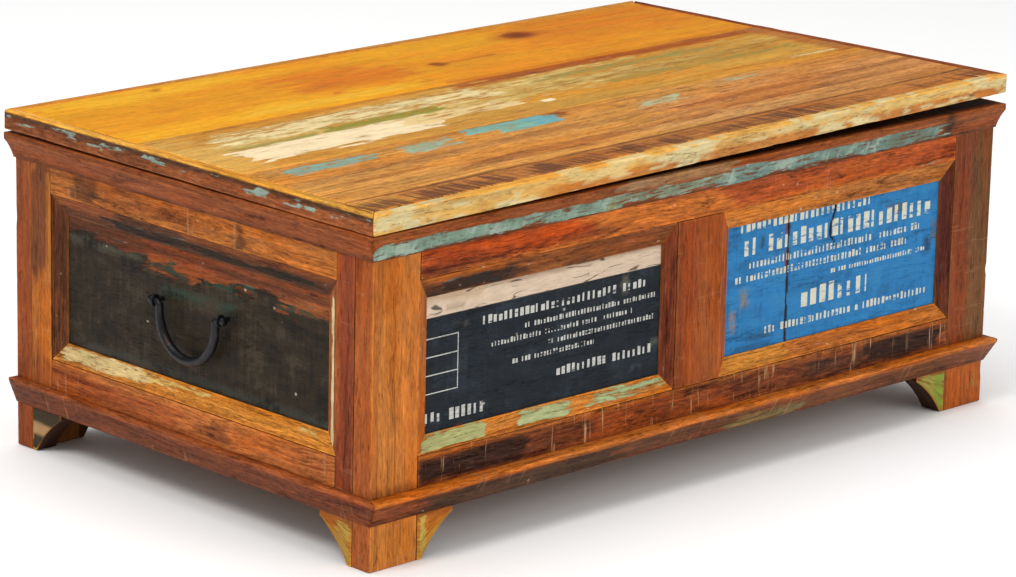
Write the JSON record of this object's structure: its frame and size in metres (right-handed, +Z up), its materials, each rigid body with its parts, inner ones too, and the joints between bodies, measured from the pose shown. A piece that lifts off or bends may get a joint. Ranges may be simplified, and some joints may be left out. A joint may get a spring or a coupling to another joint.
{
  "type": "storage chest",
  "caption": "Low storage chest of reclaimed boards with framed panels, a hinged lid, iron bail handles, crown and base mouldings and bracket feet.",
  "frame": {"origin": "on the floor, under the middle of the chest", "axes": "+X along the length (left to right seen from the front), +Y towards the hinged back, +Z up"},
  "size_m": [0.9, 0.564, 0.3595],
  "materials": {
    "stile_wood": "reclaimed orange-brown hardwood, waxed",
    "rail_wood": "reclaimed red-brown hardwood, waxed",
    "trim_wood": "reclaimed strips with remains of old paint",
    "navy_painted_board": "old navy paint on wood, scuffed",
    "blue_painted_board": "old blue paint on wood, scuffed",
    "black_painted_board": "old near-black paint on wood, flaked",
    "plain_panel_wood": "reclaimed wood, waxed",
    "teal_worn_moulding": "red-brown wood with a band of worn teal paint",
    "moulding_wood": "reclaimed red-brown wood, waxed",
    "bracket_wood": "tan wood with yellow-green paint remains",
    "inner_wood": "plain sawn wood",
    "lid_honey_wood": "honey-orange wood, satin lacquer",
    "lid_painted_wood": "wood with worn cream and olive paint, satin lacquer",
    "lid_brown_wood": "orange-brown wood with teal paint remains, satin lacquer",
    "lipping_wood": "pale yellow and red-brown strips, worn",
    "black_iron": "wrought iron, black, satin",
    "dull_steel": "dull plated steel"
  },
  "bodies": {
    "chest_body": {"back_base_moulding": "moulding_wood", "back_bottom_rail": "rail_wood", "back_crown": "moulding_wood", "back_left_leg": "stile_wood", "back_left_panel": "plain_panel_wood", "back_middle_stile": "stile_wood", "back_right_leg": "stile_wood", "back_right_panel": "plain_panel_wood", "back_top_rail": "rail_wood", "back_trim": "trim_wood", "bottom_boards": "inner_wood", "bottom_cleats": "inner_wood", "foot_brackets_ends": "bracket_wood", "foot_brackets_long_sides": "bracket_wood", "front_base_moulding": "moulding_wood", "front_bottom_rail": "rail_wood", "front_crown": "teal_worn_moulding", "front_left_leg": "stile_wood", "front_left_panel": "navy_painted_board", "front_left_trim": "trim_wood", "front_middle_stile": "stile_wood", "front_right_leg": "stile_wood", "front_right_panel_narrow_board": "blue_painted_board", "front_right_panel_wide_board": "blue_painted_board", "front_right_trim": "trim_wood", "front_top_rail": "rail_wood", "handle_eyes": "black_iron", "handle_nuts": "black_iron", "hinge_pins": "dull_steel", "hinge_rim_leaves": "dull_steel", "hinge_rim_screws": "dull_steel", "left_end_back_stile": "stile_wood", "left_end_base_moulding": "moulding_wood", "left_end_bottom_rail": "rail_wood", "left_end_crown": "moulding_wood", "left_end_front_stile": "stile_wood", "left_end_panel": "black_painted_board", "left_end_top_rail": "rail_wood", "left_end_trim": "trim_wood", "right_end_back_stile": "stile_wood", "right_end_base_moulding": "moulding_wood", "right_end_bottom_rail": "rail_wood", "right_end_crown": "moulding_wood", "right_end_front_stile": "stile_wood", "right_end_panel": "black_painted_board", "right_end_top_rail": "rail_wood", "right_end_trim": "trim_wood"},
    "lid": {"lid_back_plank": "lid_honey_wood", "lid_middle_plank": "lid_painted_wood", "lid_front_plank": "lid_brown_wood", "lid_front_lipping": "lipping_wood", "lid_back_lipping": "lipping_wood", "lid_end_lippings": "lipping_wood", "lid_battens": "inner_wood", "batten_screws": "dull_steel", "hinge_lid_leaves": "dull_steel", "hinge_lid_screws": "dull_steel"},
    "left_handle": {"left_end_handle_bail": "black_iron"},
    "right_handle": {"right_end_handle_bail": "black_iron"}
  },
  "joints": [
    {"name": "lid_hinge", "type": "hinge", "parent": "chest_body", "child": "lid", "pos_m": [0, 0.2791, 0.3293], "axis": [-1, 0, 0], "range_deg": [0, 100]},
    {"name": "left_handle_swing", "type": "hinge", "parent": "chest_body", "child": "left_handle", "pos_m": [-0.4435, -0.0035, 0.2], "axis": [0, 1, 0], "range_deg": [-6, 186]},
    {"name": "right_handle_swing", "type": "hinge", "parent": "chest_body", "child": "right_handle", "pos_m": [0.4435, -0.0035, 0.2], "axis": [0, -1, 0], "range_deg": [-6, 186]}
  ]
}
